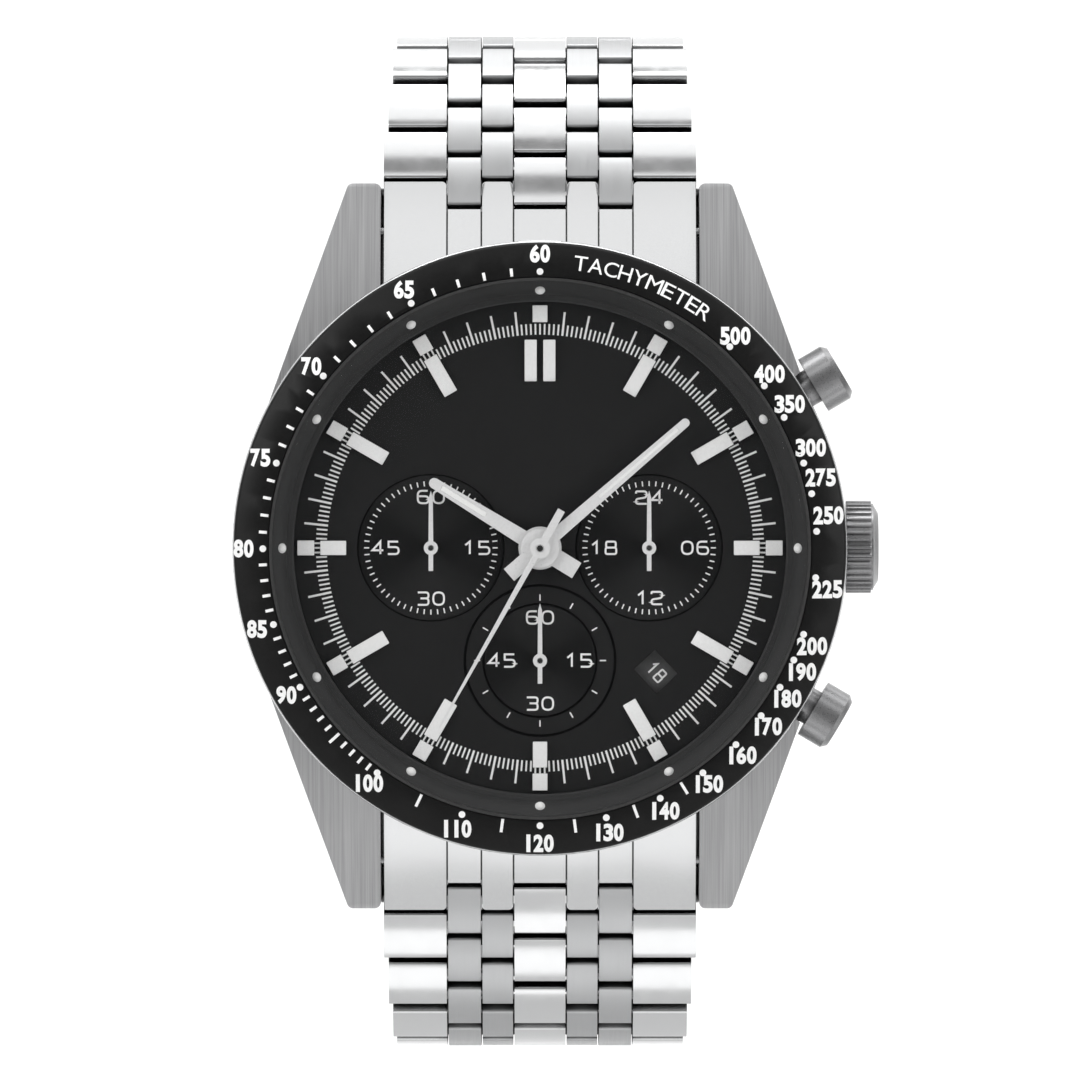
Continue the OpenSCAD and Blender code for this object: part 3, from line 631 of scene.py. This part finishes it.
def minute_track():
    """Five ticks to the minute, with a longer one on each minute that has no hour marker."""
    track = Shape()
    low, high = DIAL_TOP - PRINT_T, DIAL_TOP + PRINT_T
    for i in range(TICKS):
        clock = i * 360 / TICKS
        to_hour = (clock + 15) % 30 - 15
        under_bar = abs(math.radians(to_hour)) * 15.2 < HOUR_BAR_HALF + 0.08
        if i % 5 == 0 and i % 25:
            track.bar(clock, TICK_IN_R, LONG_TICK_R, 0.15, low, high)
        elif under_bar and not (clock < 3 or clock > 357):
            track.bar(clock, 15.31, 15.71, 0.12, low, high)
        else:
            track.bar(clock, TICK_IN_R, SHORT_TICK_R, 0.12, low, high)
    track.build("minute_track", "case", WHITE)


SNAIL_RINGS, SNAIL_SIDES, SNAIL_HOLE_R, SNAIL_T = 40, 96, 0.35, 0.012


def subdial(name, centre, labels, across, tall, ticks, floor, disc_r):
    """A snailed disc, its printed ticks and four thin numerals at 12, 3, 6 and 9."""
    cx, cy = centre
    disc = Shape()
    for k in range(SNAIL_RINGS + 1):
        r = SNAIL_HOLE_R + (disc_r - SNAIL_HOLE_R) * k / SNAIL_RINGS
        z = floor + SNAIL_T * (1 if k % 2 else 0.4)
        disc.verts += [(x, -z, y) for x, y in circle_points(cx, cy, r, SNAIL_SIDES)]
    disc.ring_faces(0, SNAIL_RINGS, SNAIL_SIDES)
    # the disc's colour carries a painted sheen
    finish = snailed(name + "_sheen", centre)
    ob = disc.build(name + "_snailing", "case", finish, smooth=True)
    ob.modifiers.new("thickness", "SOLIDIFY").thickness = 0.01 * MM
    low, high = floor - PRINT_T, floor + SNAIL_T + PRINT_T
    printing = Shape()
    for clock, r_in, r_out in ticks:
        printing.bar(clock, r_in, r_out, 0.09, low, high, centre)
    for label, clock, r in zip(labels, (0, 90, 180, 270), (tall, across, tall, across)):
        dx, dy = around(r, clock)
        numeral(printing, label, cx + dx, cy + dy, 1.0, 0.88, 0.2, 0.135, low, high)
    printing.build(name + "_printing", "case", WHITE)


HOURS_LABELS, SIXTY_LABELS = ("24", "06", "12", "18"), ("60", "15", "30", "45")


def subdials():
    """The three small dials, and near-black rings of painted shade at their edges and in the grooves
    round them.
    """
    every_minute = [(i * 6, 4.3, 4.65) for i in range(60)]
    hours = [(i * 30, 4.17, 4.6) for i in range(12)]
    subdial("left_subdial", LEFT_SUB, SIXTY_LABELS, 3.16, 3.54, every_minute, SUB_FLOOR, 5.08)
    subdial("right_subdial", RIGHT_SUB, HOURS_LABELS, 3.2, 3.5, every_minute, SUB_FLOOR, 5.08)
    subdial("lower_subdial", LOW_SUB, SIXTY_LABELS, 2.67, 3.0, hours, DIAL_TOP, 3.86)
    # near-black rings of painted shade
    grooves = Shape()
    for r, width in ((5.24, 0.2), (3.94, 0.16)):
        grooves.stroke(circle_points(*LOW_SUB, r, 120), width, DIAL_TOP - 0.11, DIAL_TOP - 0.06, True)
    for centre in (LEFT_SUB, RIGHT_SUB):
        grooves.stroke(circle_points(*centre, 5.11, 120), 0.1, SUB_FLOOR - 0.02, SUB_FLOOR + 0.03, True)
    grooves.build("subdial_groove_shade", "case", GROOVE_SHADE)


# ---- flange and bezel ----


FLANGE_DOT_R, SCALE_DOT_R = 18.05, 19.25  # distances from the middle of the dial


def flange_dots():
    """A rounded lume dot at each hour."""
    dots = Shape()
    face = flange_height(FLANGE_DOT_R)
    for h in range(12):
        x, y = around(FLANGE_DOT_R, h * 30)
        dots.dome(x, y, 0.4, face - 0.3, face + 0.22)
    dots.build("flange_dots", "case", LUME, smooth=True)


SCALE = [60, 65, 70, 75, 80, 85, 90, 100, 110, 120, 130, 140, 150, 160, 170, 180, 190, 200, 225, 250,
         275, 300, 350, 400, 500]


def speed_angle(units):
    """Angle clockwise from 12 at which the seconds hand shows a speed."""
    return (360 * 60 / units) % 360


def bezel_scale():
    """A dot at each numbered speed, a tick at each whole one up to 100 and at each fifth after it."""
    def low(r):
        return insert_height(r) - PRINT_T

    def high(r):
        return insert_height(r) + PRINT_T

    marks = Shape()
    face = insert_height(SCALE_DOT_R)
    for units in SCALE:
        x, y = around(SCALE_DOT_R, speed_angle(units))
        marks.disc(x, y, 0.235, face - 0.12, face + PRINT_T + 0.02)
    for units in range(61, 150):
        if units in SCALE or (units > 100 and units % 5):
            continue
        r_in, r_out = (18.95, 19.9) if units > 100 or units == 95 else (19.0, 19.56)
        marks.bent_bar(speed_angle(units), r_in, INSERT_SLOPE_R, r_out, 0.2, low, high)
    marks.build("bezel_scale_marks", "case", WHITE)


CAP, DIGIT_PITCH, DIGIT_W, ONE_W = 1.25, 0.72, 0.68, 0.28
DIGIT_SIDE, ONE_SIDE = 0.02, 0.24  # room on the left of a figure in its cell


def bezel_numerals():
    """Upright bold figures inside the rim, in cells of one width; a 1 is a plain stroke."""
    figures = Shape()
    for units in SCALE:
        text = str(units)
        clock = speed_angle(units)
        if len(text) == 3:
            # Three figures beside the crown stand above or below their dot, not beside it
            beside_crown = math.sin(math.radians(clock)) ** 4 if clock < 180 else 0
            clock += (-3.0 if clock < 90 else 2.1) * beside_crown
        lead = ONE_SIDE if text[0] == "1" else DIGIT_SIDE
        width = DIGIT_PITCH * len(text) - lead - DIGIT_SIDE
        ux, uy = around(1, clock)
        reach = 21.12 + 0.18 * abs(ux)
        cx, cy = around(reach - abs(width / 2 * ux) - abs(CAP / 2 * uy), clock)
        for i, ch in enumerate(text):
            left = cx - width / 2 - lead + DIGIT_PITCH * i
            wide = ONE_W if ch == "1" else DIGIT_W
            mid = left + (ONE_SIDE if ch == "1" else DIGIT_SIDE) + wide / 2
            figures.glyph_mesh("I" if ch == "1" else ch, CAP, wide, 0.045,
                               lambda x, y: (mid + x, cy + y), insert_height)
    figures.build("bezel_numerals", "case", WHITE)


WORD = "TACHYMETER"
LETTER_W = {"T": 0.93, "A": 1.03, "C": 0.96, "H": 0.9, "Y": 0.98, "M": 1.1, "E": 0.82, "R": 0.9}
WORD_R, WORD_START_DEG, LETTER_GAP, WORD_CAP = 20.0, 8.14, 0.093, 1.02


def bezel_word():
    """The scale's name, letter by letter along the rim; each letter has its own width."""
    word = Shape()
    along = 0.0
    for i, ch in enumerate(WORD):
        wide = LETTER_W[ch]
        if i:
            along += (LETTER_W[WORD[i - 1]] + wide) / 2 + LETTER_GAP
        clock = WORD_START_DEG + math.degrees(along / WORD_R)
        a = math.radians(clock)
        cx, cy = around(WORD_R, clock)
        word.glyph_mesh(ch, WORD_CAP, wide, 0.0,
                        lambda x, y: (cx + x * math.cos(a) + y * math.sin(a),
                                      cy - x * math.sin(a) + y * math.cos(a)), insert_height)
    word.build("bezel_word", "case", WHITE)


# ---- hands and date ----

HOUR_ANGLE, MINUTE_ANGLE = 301.5, 49.2  # clockwise from 12, as the hands stand at rest


def hand_lume(name, body, node, clock, r0, r1, width):
    """Lume filling a hand's slot, standing just proud of it."""
    top = front_of(node)
    fill = Shape()
    fill.bar(clock, r0 + 0.01, r1 - 0.01, width, top - 0.12, top + 0.015)
    fill.build(name, body, LUME)


def hand_details():
    """Lume in the two main hands and a small cap on each pin."""
    hand_lume("hour_hand_lume", "hour", "hour_hand", HOUR_ANGLE, 4.4, 8.05, 0.37)
    hand_lume("minute_hand_lume", "minute", "minute_hand", MINUTE_ANGLE, 5.4, 12.7, 0.23)
    for name, body, node, joint in (
            ("centre_pin_cap", "chrono_seconds", "chrono_seconds_hand", "chrono_seconds_turn"),
            ("left_pin_cap", "minute_counter", "minute_counter_hand", "minute_counter_turn"),
            ("right_pin_cap", "hour24", "hour24_hand", "hour24_turn"),
            ("lower_pin_cap", "small_seconds", "small_seconds_hand", "small_seconds_turn")):
        cx, cy = dial_centre(joint)
        top = front_of(node)
        cap = Shape()
        cap.dome(cx, cy, 0.27 if body == "chrono_seconds" else 0.22, top - 0.06, top + 0.05)
        cap.build(name, body, DARK_PIN, smooth=True)


WINDOW_ANGLE, DATE_R, SHOWN_DAY = 136.9, 11.85, 18


def date_numbers():
    """The numbers 1 to 31 round the date ring, with the shown day in the window."""
    top = front_of("date_ring")
    numbers = Shape()
    for day in range(1, 32):
        clock = WINDOW_ANGLE + (SHOWN_DAY - day) * 360 / 31
        cx, cy = around(DATE_R, clock)
        numeral(numbers, str(day), cx, cy, 1.0, 0.62, 0.16, 0.13, top - 0.05, top + PRINT_T, clock - 90)
    numbers.build("date_numbers", "date", WHITE)


minute_track()
subdials()
flange_dots()
bezel_scale()
bezel_numerals()
bezel_word()
hand_details()
date_numbers()


# ---- stage, light and camera ----

FLOOR_Z = cad_low.z - 0.11  # the watch hangs clear of the floor
FLOOR_FRONT, CURVE_START, CURVE_R, WALL_TOP, HALF_WIDTH = -1.2, 0.35, 0.25, 1.6, 1.5


def sweep_finish():
    """Pale matt paper: light grey in front and white where it curves up behind."""
    mat, ns, ln, bsdf = new_material("sweep_paper")
    coord = ns.new("ShaderNodeTexCoord")
    split = ns.new("ShaderNodeSeparateXYZ")
    ln.new(coord.outputs["Object"], split.inputs["Vector"])
    behind = spread(ns, ln, split.outputs["Y"], 0, 1, 0.12, 0.4)
    ln.new(blend_colour(ns, ln, behind, (0.5, 0.5, 0.5), (0.92, 0.92, 0.92)), bsdf.inputs["Base Color"])
    ln.new(spread(ns, ln, object_noise(ns, ln, 40), 0.8, 0.9), bsdf.inputs["Roughness"])
    return mat


def sweep():
    """A pale floor that curves up into a backdrop."""
    bm = bmesh.new()
    profile = [(FLOOR_FRONT, 0.0), (CURVE_START, 0.0)]
    for k in range(1, 11):
        a = math.pi / 2 * k / 10
        profile.append((CURVE_START + CURVE_R * math.sin(a), CURVE_R - CURVE_R * math.cos(a)))
    profile.append((CURVE_START + CURVE_R, WALL_TOP))
    rows = [[bm.verts.new((x, y, FLOOR_Z + z)) for y, z in profile] for x in (-HALF_WIDTH, HALF_WIDTH)]
    for k in range(len(profile) - 1):
        bm.faces.new((rows[0][k], rows[1][k], rows[1][k + 1], rows[0][k + 1]))
    mesh = bpy.data.meshes.new("sweep")
    bm.to_mesh(mesh)
    bm.free()
    ob = bpy.data.objects.new("sweep", mesh)
    bpy.context.scene.collection.objects.link(ob)
    for p in mesh.polygons:
        p.use_smooth = True
    ob.data.materials.append(sweep_finish())


def area(name, place, target, size, radiance):
    """A softbox; its power follows from how bright its face is."""
    light = bpy.data.lights.new(name, "AREA")
    light.shape = "RECTANGLE"
    light.size, light.size_y = size
    light.energy = radiance * math.pi * size[0] * size[1]
    ob = bpy.data.objects.new(name, light)
    ob.location = place
    ob.rotation_euler = (Vector(target) - Vector(place)).to_track_quat("-Z", "Y").to_euler()
    bpy.context.scene.collection.objects.link(ob)


def lights():
    """Even light from the world and softboxes above, beside and below the watch."""
    world = bpy.data.worlds.new("studio")
    world.use_nodes = True
    world.node_tree.nodes["Background"].inputs["Color"].default_value = (1, 1, 1, 1)
    world.node_tree.nodes["Background"].inputs["Strength"].default_value = 0.33
    bpy.context.scene.world = world
    area("front_high", (0, -0.5, 0.47), (0, 0, 0), (1.2, 0.24), 0.82)
    area("overhead", (0, -0.13, 0.62), (0, 0, 0), (1.2, 0.26), 1.0)
    area("behind_high", (0, 0.31, 0.53), (0, 0, 0), (1.2, 0.22), 0.95)
    area("front_left", (-0.62, -0.42, 0.3), (0, 0, 0), (0.4, 0.5), 5.0)
    area("front_right", (0.66, -0.4, 0.14), (0, 0, 0), (0.35, 0.5), 4.3)
    area("front_low", (0, -0.13, FLOOR_Z + 0.01), (0, 0, -0.02), (0.4, 0.05), 0.5)
    area("underneath", (0, -0.03, FLOOR_Z + 0.005), (0, -0.01, -0.03), (0.4, 0.045), 0.7)
    area("backdrop_wash", (0, 0.1, 1.2), (0, 0.6, 0.2), (1.4, 0.5), 4.0)


def camera():
    """A long lens from the front, a little above the dial's middle."""
    data = bpy.data.cameras.new("camera")
    data.sensor_width = 36
    data.lens = 480
    data.clip_start, data.clip_end = 0.05, 10
    ob = bpy.data.objects.new("camera", data)
    ob.location = (0, -1.010, 0.0226)
    ob.rotation_euler = (math.radians(90 - 1.26), 0, 0)
    bpy.context.scene.collection.objects.link(ob)
    bpy.context.scene.camera = ob


sweep()
lights()
camera()
bpy.context.scene.view_settings.view_transform = "Standard"
